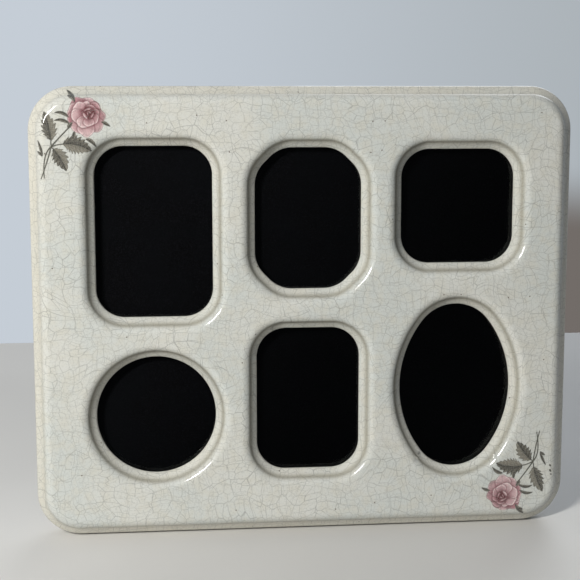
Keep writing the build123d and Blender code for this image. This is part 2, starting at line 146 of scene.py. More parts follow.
def plane_matrix(origin, normal):
    """From millimetres in a plane whose X runs across the frame to metres in the row frame."""
    up = normal.cross(across)
    matrix = Matrix((across, up, normal)).transposed().to_4x4()
    matrix.translation = origin
    return matrix @ Matrix.Scale(MM, 4)


face_normal = Vector(side_joint["axis"])
lean = asin(face_normal.z)
leg_slope = radians(leg_opening) - lean
leg_normal = Vector((0, -cos(leg_slope), -sin(leg_slope)))
side_button = Vector((rim_width / 2 - frame_width / 2, middle, -button_gap))
face_turn = plane_matrix(Vector(), face_normal)
body_origin = Vector(side_joint["pos_m"]) - face_turn @ side_button
body_plane = plane_matrix(body_origin, face_normal)
leg_plane = plane_matrix(Vector(hinge_joint["pos_m"]), leg_normal)


# Outlines, each a closed run of arcs joined by straight lines. An arc is centre, radius, start and sweep.


def rounded_polygon(points, radius):
    """Arcs that round the corners of a polygon which runs anticlockwise."""
    arcs = []
    for index, corner in enumerate(points):
        before = Vector(points[index - 1])
        after = Vector(points[(index + 1) % len(points)])
        corner = Vector(corner)
        inward = (corner - before).normalized()
        outward = (after - corner).normalized()
        turn = inward.angle_signed(outward)
        sweep = abs(turn)
        reach = radius * tan(sweep / 2)
        start_point = corner - inward * reach
        centre = start_point + Vector((-inward.y, inward.x)) * radius
        away = start_point - centre
        arcs.append((centre, radius, atan2(away.y, away.x), sweep))
    return arcs


def rounded_rectangle(centre, width, height, radius):
    x, y = centre
    half_width = width / 2
    half_height = height / 2
    sides = ((1, -1), (1, 1), (-1, 1), (-1, -1))
    return rounded_polygon([(x + i * half_width, y + j * half_height) for i, j in sides], radius)


def cut_rectangle(centre, width, height, cut, radius):
    """Rectangle with cut corners, all eight vertices rounded."""
    x, y = centre
    half_width = width / 2
    half_height = height / 2
    side = half_height - cut
    top = half_width - cut
    right = [(x + half_width, y - side), (x + half_width, y + side)]
    left = [(x - half_width, y + side), (x - half_width, y - side)]
    above = [(x + top, y + half_height), (x - top, y + half_height)]
    below = [(x - top, y - half_height), (x + top, y - half_height)]
    return rounded_polygon(right + above + left + below, radius)


def four_arc_oval(centre, half_width, half_height, end_radius):
    x, y = centre
    end_centre = half_height - end_radius
    side_radius = (half_width**2 + end_centre**2 - end_radius**2) / (2 * (half_width - end_radius))
    side_centre = side_radius - half_width
    turn = asin(end_centre / (side_radius - end_radius))
    return [
        (Vector((x - side_centre, y)), side_radius, -turn, 2 * turn),
        (Vector((x, y + end_centre)), end_radius, turn, pi - 2 * turn),
        (Vector((x + side_centre, y)), side_radius, pi - turn, 2 * turn),
        (Vector((x, y - end_centre)), end_radius, pi + turn, pi - 2 * turn),
    ]


def stations(arcs, arc_step, line_step, widening=0.0):
    """Points of an outline and its outward directions there. The widening sets the arcs' spacing."""
    points = []
    ways = []
    for index, (centre, radius, start, sweep) in enumerate(arcs):
        count = max(2, ceil((radius + widening) * sweep / arc_step))
        for number in range(count + 1):
            angle = start + sweep * number / count
            way = Vector((cos(angle), sin(angle)))
            points.append(centre + way * radius)
            ways.append(way)
        next_centre, next_radius, next_start, _ = arcs[(index + 1) % len(arcs)]
        next_point = next_centre + Vector((cos(next_start), sin(next_start))) * next_radius
        last_point = points[-1]
        gap = (next_point - last_point).length
        if gap < least_gap:
            points.pop()
            ways.pop()
            continue
        steps = ceil(gap / line_step)
        points += [last_point.lerp(next_point, number / steps) for number in range(1, steps)]
        ways += [way] * (steps - 1)
    return np.array(points), np.array(ways)


left_clear = frame_height - portrait_top_margin - left_rail - circle_bottom_margin
middle_clear = frame_height - octagon_top_margin - middle_rail - tall_bottom_margin
right_clear = frame_height - square_top_margin - right_rail - oval_bottom_margin
portrait_height = left_clear * portrait_share
circle_radius = (left_clear - portrait_height) / 2
tall_height = middle_clear * tall_share
octagon_height = middle_clear - tall_height
oval_half_height = right_clear * oval_share / 2
square_height = right_clear - 2 * oval_half_height

portrait_place = (-left_column, frame_height - portrait_top_margin - portrait_height / 2)
octagon_place = (middle_column, frame_height - octagon_top_margin - octagon_height / 2)
square_place = (right_column, frame_height - square_top_margin - square_height / 2)
circle_place = (-left_column, circle_bottom_margin + circle_radius)
tall_place = (middle_column, tall_bottom_margin + tall_height / 2)
oval_place = (right_column, oval_bottom_margin + oval_half_height)

window_arcs = [
    rounded_rectangle(portrait_place, portrait_width, portrait_height, portrait_corner),
    cut_rectangle(octagon_place, octagon_width, octagon_height, octagon_chamfer, octagon_corner),
    rounded_rectangle(square_place, square_width, square_height, square_corner),
    [(Vector(circle_place), circle_radius, 0.0, 2 * pi)],
    rounded_rectangle(tall_place, tall_width, tall_height, tall_corner),
    four_arc_oval(oval_place, oval_half_width, oval_half_height, oval_end_radius),
]
outer_arcs = rounded_rectangle((0, middle), frame_width, frame_height, corner_radius)


# Sections of the moulding: points (distance from the lip's outline, level w)

support = 0.5
rear_flat = 1.0
ease = 0.3
band_sag = 0.14
crease_turn = radians(7)
longest_step = 1.3
fine_step = 0.05
lip_points = 30
band_points = 20
shoulder_points = 40
rear_points = 12
pool_and_shade_spread = 0.9
pool_and_shade_above_lip = 1.0
warm_overlap = 1.5
warm_fade = 2.0

# How much of the glaze is darkened at the shoulder's foot, as pooled glaze and painted shade in the
# crease, and how much is warm, at the most
window_pool_shade_warmth = (0.62, 0.22)
outer_pool_shade_warmth = (0.16, 0.45)


def moulding_points(band_width, shoulder_width):
    """Rounded lip, sagging band and shoulder, from the lip up to the face."""
    rise = lip_depth - shoulder_depth
    beyond = band_width - lip_round
    turn = pi - atan2(rise, beyond) - acos(lip_round / hypot(beyond, rise))
    lip = [
        (lip_round * (1 - cos(angle)), lip_level + lip_round * sin(angle))
        for angle in np.linspace(0, turn, lip_points)
    ]
    start = np.array(lip[-1])
    reach = np.array((band_width, lip_level + rise)) - start
    sag = 4 * band_sag * np.array((cos(turn), -sin(turn)))
    shares = np.linspace(0, 1, band_points)[1:-1]
    band = [start + reach * share + sag * share * (1 - share) for share in shares]
    radius = (shoulder_width**2 + shoulder_depth**2) / (2 * shoulder_depth)
    edge = band_width + shoulder_width
    shoulder = [
        (edge - radius * sin(angle), frame_depth - radius * (1 - cos(angle)))
        for angle in np.linspace(asin(shoulder_width / radius), 0, shoulder_points)
    ]
    return lip + band + shoulder


def eased(points):
    """The same section with its creases rounded, its points close where it bends."""
    points = np.array(points, float)
    run = np.concatenate([[0], np.cumsum(np.hypot(*np.diff(points, axis=0).T))])
    even = np.arange(0, run[-1], fine_step)
    dense = np.column_stack([np.interp(even, run, points[:, axis]) for axis in range(2)])
    reach = int(4 * ease / fine_step)
    before = dense[0] + (dense[0] - dense[1]) * np.arange(reach, 0, -1)[:, None]
    after = dense[-1] + (dense[-1] - dense[-2]) * np.arange(1, reach + 1)[:, None]
    padded = np.vstack([before, dense, after])
    kernel = np.exp(-0.5 * (np.arange(-reach, reach + 1) * fine_step / ease) ** 2)
    kernel /= kernel.sum()
    smooth = np.column_stack([np.convolve(padded[:, axis], kernel, "valid") for axis in range(2)])
    steps = np.diff(smooth, axis=0)
    heading = np.unwrap(np.arctan2(steps[:, 1], steps[:, 0]))
    effort = np.concatenate([[0], np.cumsum(np.hypot(*steps.T) / longest_step)])
    effort[1:] += np.cumsum(np.abs(np.diff(heading, prepend=heading[0]))) / crease_turn
    picks = np.linspace(0, effort[-1], ceil(effort[-1]) + 1)
    return np.column_stack([np.interp(picks, effort, smooth[:, axis]) for axis in range(2)])


class Section:
    """A moulding's points, each with its length from the face's edge and the build of its glaze: pooled
    glaze with painted shade at the shoulder's foot, and warmth on the band.
    """

    def __init__(self, start, band_width, shoulder_width, direction, pool_shade_warmth_shares):
        """The direction is 1 outwards from a window, -1 inwards from the outside."""
        self.width = band_width + shoulder_width
        self.direction = direction
        top = [(self.width + support, frame_depth)]
        self.profile = eased(start + moulding_points(band_width, shoulder_width) + top)
        offset, level = self.profile.T
        run = np.concatenate([[0], np.cumsum(np.hypot(*np.diff(self.profile, axis=0).T))])
        self.runs = run[-1] - run - (offset[-1] - self.width)

        # The glaze is darkened at the shoulder's foot, pooled glaze with painted shade in the crease, and
        # is warm on the band
        pool_and_shade = np.exp(-(((offset - band_width) / pool_and_shade_spread) ** 2)) * (level > lip_level + pool_and_shade_above_lip)
        warmth = np.clip((band_width + warm_overlap - offset) / warm_fade, 0, 1) * (level > lip_level)
        most_pool_and_shade, most_warmth = pool_shade_warmth_shares
        self.glaze = np.column_stack([most_pool_and_shade * pool_and_shade, most_warmth * warmth, np.zeros(len(offset))])


rear_centre = side_draft + rear_edge_radius
rear_edge = [(rear_centre + rear_flat, 0.0)] + [
    (rear_centre - rear_edge_radius * sin(angle), rear_edge_radius - rear_edge_radius * cos(angle))
    for angle in np.linspace(0, pi / 2, rear_points)
]
window_start = [(window_back_bevel, web_back)]
window_section = Section(window_start, window_band_width, window_shoulder_width, 1, window_pool_shade_warmth)
outer_section = Section(rear_edge, outer_band_width, outer_shoulder_width, -1, outer_pool_shade_warmth)


# Meshes


class Sheet:
    """Points in millimetres, each with its flattened place and its glaze, and the faces on them."""

    def __init__(self):
        self.points = []
        self.flat = []
        self.builds = []
        self.faces = []

    def ring(self, places, level, flat=None, build=(0.0, 0.0, 0.0)):
        """Adds points at one level and gives their numbers."""
        first = len(self.points)
        for place, spread in zip(places, places if flat is None else flat):
            self.points.append((*place, level))
            self.flat.append((*spread, 0.0))
            self.builds.append(build)
        return list(range(first, len(self.points)))

    def bridge(self, low, high):
        """Faces between two equal rings."""
        for index in range(len(low)):
            after = (index + 1) % len(low)
            self.faces.append((low[index], low[after], high[after], high[index]))

    def fill(self, outer, holes, facing=1):
        """Flat faces inside one ring and outside others."""
        rings = [outer] + holes
        numbers = [number for ring in rings for number in ring]
        places = [Vector(self.points[number][:2]) for number in numbers]
        edges = []
        start = 0
        for ring in rings:
            count = len(ring)
            edges += [(start + index, start + (index + 1) % count) for index in range(count)]
            start += count
        found, _, triangles, origins, *_ = delaunay_2d_cdt(places, edges, [], 0, joining_gap)
        outlines = [np.array([self.points[number][:2] for number in ring]) for ring in rings]
        middles = np.array([np.mean([found[corner] for corner in face], axis=0) for face in triangles])
        keep = inside(middles, outlines[0])
        for outline in outlines[1:]:
            keep &= ~inside(middles, outline)
        for index in np.flatnonzero(keep):
            corners = [numbers[origins[corner][0]] for corner in triangles[index]]
            self.faces.append(tuple(corners if facing > 0 else reversed(corners)))


def inside(places, outline):
    """Which places lie inside a closed outline, by counting crossings."""
    x, y = places[:, 0, None], places[:, 1, None]
    x1, y1 = outline[:, 0], outline[:, 1]
    x2, y2 = np.roll(x1, -1), np.roll(y1, -1)
    spans = (y1 > y) != (y2 > y)
    rise = np.where(y2 == y1, least_gap, y2 - y1)
    crossing = spans & (x < (x2 - x1) * (y - y1) / rise + x1)
    return crossing.sum(axis=1) % 2 == 1


def add_object(name, data):
    made = bpy.data.objects.new(name, data)
    bpy.context.scene.collection.objects.link(made)
    return made


def make_piece(name, plane, points, faces, material, body=None):
    """A mesh from a plane's millimetres, riding on a body where one is named."""
    mesh = bpy.data.meshes.new(name)
    mesh.from_pydata([plane @ Vector(point) for point in points], [], faces)
    mesh.validate()
    mesh.polygons.foreach_set("use_smooth", [True] * len(mesh.polygons))
    mesh.materials.append(material)
    piece = add_object(name, mesh)
    if body:
        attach(piece, body)
    return piece


def store(piece, name, values):
    """Keeps vectors, or colours with their cover, on a piece's points for its material."""
    values = np.asarray(values, np.float32)
    kind, field = ("FLOAT_COLOR", "color") if values.shape[1] == 4 else ("FLOAT_VECTOR", "vector")
    piece.data.attributes.new(name, kind, "POINT").data.foreach_set(field, values.ravel())


# Nodes of materials and of the room


def srgb(red, green, blue):
    """A colour from 0 to 255 as Blender's linear values."""
    shares = [value / 255 for value in (red, green, blue)]
    linear = [share / 12.92 if share <= 0.04045 else ((share + 0.055) / 1.055) ** 2.4 for share in shares]
    return (*linear, 1.0)


class Nodes:
    """A material's or a world's nodes, added one at a time and linked as they are added."""

    def __init__(self, name, owners="materials"):
        self.owner = getattr(bpy.data, owners).new(name)
        self.owner.use_nodes = True
        self.tree = self.owner.node_tree

    def put(self, socket, value):
        if isinstance(value, bpy.types.NodeSocket):
            self.tree.links.new(value, socket)
        else:
            socket.default_value = value

    def fill(self, node, named):
        """Gives a node its named values: an input's name has a capital, a setting's has none."""
        for name, value in named.items():
            if name.islower():
                setattr(node, name, value)
            else:
                self.put(node.inputs[name.replace("_", " ")], value)

    def add(self, kind, *values, **named):
        """A new node, its first inputs given in order and the rest by name."""
        made = self.tree.nodes.new("ShaderNode" + kind)
        for socket, value in zip(made.inputs, values):
            self.put(socket, value)
        self.fill(made, named)
        return made

    def math(self, operation, first, second):
        return self.add("Math", first, second, operation=operation).outputs[0]

    def vector_math(self, operation, first, second):
        return self.add("VectorMath", first, second, operation=operation).outputs[0]

    def scaled(self, vector, factor):
        return self.add("VectorMath", vector, operation="SCALE", Scale=factor).outputs[0]

    def ramp(self, value, low, high, start=0.0, end=1.0):
        """A smooth step from start to end as the value goes from low to high."""
        made = self.add("MapRange", value, low, high, start, end, interpolation_type="SMOOTHSTEP")
        return made.outputs[0]

    def mix(self, factor, first, second):
        made = self.add("Mix", factor, data_type="RGBA")
        self.put(made.inputs[6], first)
        self.put(made.inputs[7], second)
        return made.outputs[2]

    def mottle(self, under, over, pattern, low=0.3, high=0.7, most=1.0):
        """One colour over another where a pattern goes from low to high."""
        return self.mix(self.ramp(pattern, low, high, 0.0, most), under, over)

    def noise(self, vector, scale, detail=2.0, roughness=0.5, dimensions="3D", output=0):
        values = {"Vector": vector, "Scale": scale, "Detail": detail, "Roughness": roughness}
        return self.add("TexNoise", noise_dimensions=dimensions, **values).outputs[output]

    def flat_noise(self, vector, scale, detail=2.0, roughness=0.5, output=0):
        return self.noise(vector, scale, detail, roughness, "2D", output)

    def cells(self, vector, feature, size, randomness=1.0):
        values = {"Vector": vector, "Scale": 1 / size, "Randomness": randomness}
        return self.add("TexVoronoi", voronoi_dimensions="2D", feature=feature, **values).outputs

    def bump(self, height, depth, **normal):
        """Relief as deep as a number of millimetres."""
        return self.add("Bump", Strength=1.0, Distance=depth * MM, Height=height, **normal).outputs[0]

    def coordinates(self):
        """Object coordinates in millimetres."""
        return self.scaled(self.add("TexCoord").outputs["Object"], 1 / MM)

    def grain(self, *values):
        """Noise over the object, by the millimetre."""
        return self.noise(self.coordinates(), *values)

    def attribute(self, name, output="Vector"):
        return self.add("Attribute", attribute_name=name).outputs[output]

    def set(self, **values):
        """Gives the surface its values and hands over the material."""
        self.fill(self.tree.nodes["Principled BSDF"], values)
        return self.owner

    def coat(self, colour, relief, depth, wear, roughness, **values):
        """The surface's colour, with a relief and a roughness that follow patterns."""
        normal = self.bump(relief, depth)
        shine = self.ramp(wear, 0.3, 0.7, *roughness)
        return self.set(Base_Color=colour, Normal=normal, Roughness=shine, **values)

    def show(self, shader, output):
        """Leads a shader to an output and hands over the material or the world."""
        self.put(self.tree.nodes[output].inputs["Surface"], shader)
        return self.owner


# Glaze

glaze_cream = srgb(210, 210, 203)
glaze_warm = srgb(205, 202, 189)
glaze_cool = srgb(202, 205, 200)
glaze_band = srgb(210, 203, 185)
# Pooled glaze and painted shade, darkening the shoulder's foot
glaze_pool_and_shade = srgb(152, 147, 130)
crack_grey = srgb(114, 113, 108)
pinhole_brown = srgb(92, 78, 66)
pinhole_spacing = 17
crack_jitter = 0.6

# Each bend of the cracks: noise scale, detail, reach. Each net: size, line width, strength, least share
crack_bends = ((0.035, 1.0, 16.0), (0.5, 2.0, 0.4))
crack_nets = (
    (8.5, 0.22, 0.55, 0.35),
    (4.4, 0.19, 0.55, 0.55),
    (2.5, 0.15, 0.36, 0.0),
)
net_shift = (37.0, 91.0)


def crack_lines(nodes, flat):
    """Crazing in three sizes, bent a little, strong in some patches and faint in others."""
    bent = flat
    for scale, detail, reach in crack_bends:
        bend = nodes.flat_noise(flat, scale, detail, output="Color")
        centred = nodes.vector_math("SUBTRACT", bend, (0.5, 0.5, 0.5))
        bent = nodes.vector_math("ADD", bent, nodes.scaled(centred, reach))
    total = None
    for number, (size, width, strength, least) in enumerate(crack_nets):
        shifted = nodes.vector_math("ADD", bent, (net_shift[0] * number, net_shift[1] * number, 0.0))
        edge = nodes.cells(shifted, "DISTANCE_TO_EDGE", size, crack_jitter)["Distance"]
        line = nodes.ramp(edge, 0.0, width / size, 1.0, 0.0)
        patches = nodes.flat_noise(shifted, 0.05 * (1 + number), 3.0, 0.6)
        line = nodes.math("MULTIPLY", line, nodes.ramp(patches, 0.4, 0.62, strength * least, strength))
        total = line if total is None else nodes.math("MAXIMUM", total, line)
    return total


def pinholes(nodes, flat):
    """A few dark specks in the glaze."""
    spots = nodes.cells(flat, "F1", pinhole_spacing)
    near = nodes.ramp(spots["Distance"], 0.012, 0.024, 1.0, 0.0)
    return nodes.math("MULTIPLY", near, nodes.ramp(spots["Color"], 0.60, 0.66))


def glaze_material(name, painted=False):
    """Cream glaze over white earthenware, crazed; on the films the colour is the paint's."""
    nodes = Nodes(name)
    flat = nodes.attribute("flat_mm")
    cracks = crack_lines(nodes, flat)
    if painted:
        grain = nodes.flat_noise(flat, 2.2)
        base = nodes.mottle(nodes.attribute("paint", "Color"), glaze_cream, grain, 0.35, 0.75, 0.16)
        nodes.set(Alpha=nodes.attribute("paint", "Alpha"))
    else:
        build = nodes.add("SeparateXYZ", nodes.attribute("glaze_build_and_shade")).outputs
        base = nodes.mottle(glaze_cool, glaze_cream, nodes.flat_noise(flat, 0.018), 0.35, 0.65)
        small = nodes.flat_noise(flat, 0.16, 3.0, 0.6)
        base = nodes.mottle(base, glaze_warm, small, 0.35, 0.75, 0.55)
        base = nodes.mix(build["Y"], base, glaze_band)
        # Painted shade: the shoulder's foot is darkened here, part pooled glaze and part shade in the
        # crease
        base = nodes.mix(build["X"], base, glaze_pool_and_shade)
    grit = nodes.flat_noise(flat, 1.1, 2.0, 0.7)
    base = nodes.mottle(base, crack_grey, grit, 0.5, 0.75, 0.22)
    base = nodes.mix(cracks, base, crack_grey)
    if not painted:
        base = nodes.mix(pinholes(nodes, flat), base, pinhole_brown)
    normal = nodes.bump(nodes.flat_noise(flat, 0.05, 1.0), 0.16)
    normal = nodes.bump(nodes.flat_noise(flat, 0.55), 0.012, Normal=normal)
    normal = nodes.bump(nodes.math("SUBTRACT", 1.0, cracks), 0.006, Normal=normal)
    haze = nodes.flat_noise(flat, 0.3, 3.0, 0.6)
    nodes.set(Base_Color=base, Normal=normal, Roughness=nodes.ramp(haze, 0.3, 0.7, 0.10, 0.17))
    return nodes.set(IOR=1.5)


glaze = glaze_material("glaze")
glaze_paint = glaze_material("glaze_paint", painted=True)


# Ceramic body

arc_step = 1.5
line_step = 2.6
plug_sides = 24
window_stations = [stations(arcs, arc_step, line_step, window_section.width) for arcs in window_arcs]
outer_stations = stations(outer_arcs, arc_step, line_step)


def build_body():
    body = Sheet()

    def sweep(outline, section):
        """Rings of a section along an outline, joined by faces."""
        points, ways = outline
        outward = ways * section.direction
        rim = points + outward * section.width
        rings = [
            body.ring(points + outward * offset, level, rim - outward * run, build)
            for (offset, level), run, build in zip(section.profile, section.runs, section.glaze)
        ]
        for low, high in zip(rings, rings[1:]):
            if section.direction > 0:
                body.bridge(high, low)
            else:
                body.bridge(low, high)
        return rings

    window_rings = [sweep(outline, window_section) for outline in window_stations]
    outer_rings = sweep(outer_stations, outer_section)
    body.fill(outer_rings[-1], [rings[-1] for rings in window_rings])

    # Rim, rebate and plug holes at the back
    rebate_arcs = rounded_rectangle(
        (0, middle), frame_width - 2 * rim_width, frame_height - 2 * rim_width, rebate_corner_radius
    )
    rebate_points, rebate_ways = stations(rebate_arcs, arc_step, 2 * frame_width)
    plug_spots = [(side * (frame_width - rim_width) / 2, middle) for side in (-1, 1)]
    plug_heights = (rim_width / 2, frame_height - rim_width / 2)
    plug_spots += [(side * top_button_spacing / 2, y) for side in (-1, 1) for y in plug_heights]
    turns = np.linspace(0, 2 * pi, plug_sides, endpoint=False)
    plug_ring = np.column_stack([np.cos(turns), np.sin(turns)]) * (plug_radius + plug_fit)
    hole_rings = []
    for spot in plug_spots:
        mouth = body.ring(plug_ring + spot, 0.0)
        floor = body.ring(plug_ring + spot, plug_length + plug_fit)
        body.bridge(floor, mouth)
        body.faces.append(tuple(reversed(floor)))
        hole_rings.append(mouth)
    edge_ring = body.ring(rebate_points + rebate_ways * rebate_edge, 0.0)
    wall_low = body.ring(rebate_points, rebate_edge)
    wall_high = body.ring(rebate_points, web_back)
    body.fill(outer_rings[0], hole_rings + [edge_ring], -1)
    body.bridge(wall_low, edge_ring)
    body.bridge(wall_high, wall_low)
    body.fill(wall_high, [rings[0] for rings in window_rings], -1)
    return body


body_sheet = build_body()
ceramic = make_piece("glazed_body", body_plane, body_sheet.points, body_sheet.faces, glaze, "frame")
store(ceramic, "flat_mm", body_sheet.flat)
store(ceramic, "glaze_build_and_shade", body_sheet.builds)
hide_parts("ceramic_frame")


# Rose sprays, painted on thin films that lie on the glaze


def surface_at(places):
    """Level of the glaze and its flattened place under points of the face, given from the back rim."""
    level = np.full(len(places), frame_depth)
    flat = places.copy()
    outlines = [(outer_stations, outer_section)]
    outlines += [(outline, window_section) for outline in window_stations]
    for (points, ways), section in outlines:
        gaps = places[:, None, :] - points[None, :, :]
        nearest = (gaps**2).sum(axis=2).argmin(axis=1)
        way = gaps[np.arange(len(places)), nearest]
        offset = (way * ways[nearest]).sum(axis=1) * section.direction
        front = section.profile[:, 1] > lip_level
        offsets, levels = section.profile[front].T
        on_moulding = offset < section.width
        level = np.where(on_moulding, np.minimum(level, np.interp(offset, offsets, levels)), level)
        run = np.interp(offset, offsets, section.runs[front])
        shift = ((section.width - offset - run) * section.direction)[:, None] * ways[nearest]
        flat = np.where(on_moulding[:, None], places + shift, flat)
    return level, flat


def soft(depth, blur=0.16):
    """Cover from 0 to 1 across a painted edge, by the depth inside it."""
    return np.clip(0.5 + depth / (2 * blur), 0, 1)


def shade(low, high, share):
    """Colours between two, point by point."""
    share = np.reshape(np.clip(share, 0, 1), (-1, 1))
    return np.asarray(low)[..., :3] * (1 - share) + np.asarray(high)[..., :3] * share


class Paint:
    """Colour and cover at every point of a film, laid on stroke by stroke."""

    def __init__(self, places):
        self.places = places
        self.colour = np.zeros((len(places), 3))
        self.cover = np.zeros(len(places))

    def lay(self, cover, colour):
        cover = np.clip(cover, 0, 1)
        left = self.cover * (1 - cover)
        total = cover + left
        mixed = np.asarray(colour)[..., :3] * cover[:, None] + self.colour * left[:, None]
        thick = total[:, None] > least_gap
        self.colour = np.where(thick, mixed / np.maximum(total, least_gap)[:, None], self.colour)
        self.cover = total


def along(places, start, bend, end, steps=24):
    """Share of the way along a curve and distance to its side, for every point."""
    start, bend, end = (np.array(point, float) for point in (start, bend, end))
    shares = np.linspace(0, 1, steps + 1)[:, None]
    curve = start * (1 - shares) ** 2 + bend * 2 * shares * (1 - shares) + end * shares**2
    first, step = curve[:-1], np.diff(curve, axis=0)
    gap = places[:, None, :] - first[None]
    length = (step**2).sum(axis=1)
    run = np.clip((gap * step).sum(axis=2) / length, 0, 1)
    away = gap - run[:, :, None] * step
    distance = np.hypot(away[..., 0], away[..., 1])
    nearest = distance.argmin(axis=1)
    rows = np.arange(len(places))
    side = step[nearest, 0] * gap[rows, nearest, 1] - step[nearest, 1] * gap[rows, nearest, 0]
    share = (nearest + run[rows, nearest]) / steps
    return share, np.where(side < 0, -1, 1) * distance[rows, nearest], np.sqrt(length).sum()


leaf_dark = srgb(46, 44, 39)
leaf_light = srgb(146, 141, 127)
stem_colour = srgb(104, 103, 90)
petal_light = srgb(214, 184, 184)
petal_middle = srgb(172, 121, 127)
petal_dark = srgb(112, 60, 69)
heart_dark = srgb(84, 22, 30)
petal_rim = srgb(234, 214, 212)


def paint_stem(paint, start, bend, end, thick, thin):
    share, side, _ = along(paint.places, start, bend, end)
    half_width = (thick + (thin - thick) * share) / 2
    tone = shade(stem_colour, leaf_dark, 0.5 + side / np.maximum(half_width, 0.01))
    paint.lay(0.9 * soft(half_width - np.abs(side), 0.14), tone)


def paint_leaf(paint, start, bend, end, half_width, teeth, seed, lit_side=1):
    """A leaf with a toothed edge, a dark and a light half, and streaks between its veins."""
    share, side, length = along(paint.places, start, bend, end)
    outline = half_width * np.sin(pi * share**0.85) ** 0.8
    tooth = (share * teeth + 0.35 * np.sign(side)) % 1
    outline = outline * (0.76 + 0.42 * tooth) if teeth else outline
    inward = outline - np.abs(side)
    reach = np.abs(side) / np.maximum(outline, 0.05)
    slant = (share * length - np.abs(side) * 0.75) / length
    veins = 0.5 + 0.5 * np.cos(2 * pi * slant * max(teeth, 3) * 0.9)
    streak = np.sin(37 * share + 11 * reach + seed) * np.sin(53 * slant + 2 * seed)
    lit = np.where(side * lit_side > 0, 0.50, 0.10) + 0.50 * (1 - veins) * reach + 0.20 * streak
    lit = lit - 0.40 * np.exp(-((side / 0.22) ** 2)) + 0.12 * reach
    edge = np.exp(-((inward / 0.32) ** 2))
    colour = shade(leaf_dark, leaf_light, lit) * (1 - 0.35 * edge[:, None])
    ends = soft(np.minimum(share, 1 - share) * length, 0.1)
    paint.lay(0.96 * soft(inward, 0.15) * ends, colour)


def paint_petal(paint, curl, angle, distance, reach, breadth, tone, fade):
    """A petal that opens away from the heart: darker at its root, pale at its rolled rim."""
    way = np.array((cos(radians(angle)), sin(radians(angle))))
    cross = np.array((-way[1], way[0]))
    distance, reach, breadth = (length * rose_share for length in (distance, reach, breadth))
    gap = paint.places - (np.array(rose_heart) + way * distance)
    out = gap @ way / reach
    wide = gap @ cross / (breadth * (1 + 0.14 * out))
    turn = np.arctan2(wide, out)
    size = np.hypot(out, wide)
    outline = 1 + 0.05 * np.sin(3 * turn + angle) + 0.04 * np.sin(5 * turn + 2 * angle) + curl * wide * 0.1
    inward = (outline - size) * min(reach, breadth)
    shadow = 0.72 * np.exp(-((np.minimum(inward, 0) / 0.5) ** 2)) * (paint.cover > 0.3)
    paint.lay(np.where(inward < 0, shadow, 0), petal_dark if tone < 0.6 else heart_dark)
    streak = 0.10 * np.sin(15 * turn + 5 * size + angle) * size
    lift = np.clip(0.46 + 0.72 * out + 0.12 * np.sin(2 * turn + angle), 0, 1)
    root = 0.6 * np.clip(-0.35 - out, 0, 0.5) / 0.5
    rim = np.exp(-(((inward - 0.22) / 0.24) ** 2)) * np.clip(out + 0.3, 0, 1) * (1 - 0.8 * tone)
    light = shade(petal_light, petal_middle, 1.3 * tone)
    dark = shade(petal_middle, petal_dark, 0.35 + tone)
    colour = shade(shade(dark, light, lift), heart_dark, root)
    colour = shade(colour * (1 - streak[:, None]), petal_rim, rim)
    if tone > 0.9:
        colour = shade(heart_dark, petal_dark, lift * 0.6)
    paint.lay(soft(inward, 0.17) * (1 - fade * np.clip(out, 0, 1) ** 2), colour)


rose_heart = (17.6, 15.3)
rose_share = 0.9
outer_curl = 0.4
inner_curl = 0.2

# Each petal: angle, distance, reach, breadth, tone from pale to dark, how far its rim fades
outer_petals = [
    (58, 3.2, 3.8, 4.8, 0.50, 0.30),
    (104, 4.2, 4.0, 4.2, 0.30, 0.10),
    (14, 2.6, 4.0, 4.9, 0.70, 0.55),
    (140, 6.4, 4.2, 4.2, 0.75, 0.05),
    (326, 4.3, 4.3, 4.8, 0.62, 0.60),
    (176, 7.2, 3.6, 4.8, 0.40, 0.05),
    (206, 7.6, 3.8, 4.4, 0.75, 0.05),
    (296, 6.0, 4.4, 4.4, 0.40, 0.40),
    (230, 8.4, 3.5, 4.0, 0.30, 0.05),
    (258, 7.2, 4.8, 4.2, 0.10, 0.25),
]
inner_petals = [
    (116, 3.3, 3.0, 3.0, 0.20, 0.0),
    (150, 5.0, 3.4, 3.2, 0.02, 0.0),
    (192, 5.4, 3.6, 3.6, 0.14, 0.0),
    (40, 2.0, 2.5, 3.4, 0.72, 0.1),
    (345, 2.4, 2.8, 3.2, 0.80, 0.1),
    (305, 3.2, 3.0, 3.0, 0.45, 0.0),
    (236, 4.6, 3.6, 3.2, 0.04, 0.0),
    (268, 3.8, 2.8, 2.6, 0.30, 0.0),
    (40, 0.2, 2.6, 2.9, 1.00, 0.0),
    (104, 1.9, 0.6, 1.6, 0.50, 0.0),
    (215, 2.1, 0.7, 1.8, 0.24, 0.0),
    (330, 1.8, 0.6, 1.4, 0.75, 0.0),
    (60, 0.6, 0.4, 0.8, 0.60, 0.0),
    (190, 0.5, 0.3, 0.8, 0.70, 0.0),
]

# Each stem: start, bend, end, thickness at both ends, from the point where the stems meet
stems = [
    ((8.8, 9.2), (4.0, 4.6), (0, 0), 0.5, 0.65),
    ((0, 0), (-4.2, -3.4), (-3.4, -14.4), 0.6, 0.4),
    ((0, 0), (-1.8, -7.0), (-4.9, -14.7), 0.6, 0.4),
    ((0.2, 0.2), (-0.2, 2.0), (0.2, 3.6), 0.5, 0.45),
    ((0.2, 0), (3.0, 1.3), (6.2, 1.2), 0.5, 0.45),
    ((0.2, -0.2), (0.9, -0.8), (1.6, -1.6), 0.5, 0.45),
]

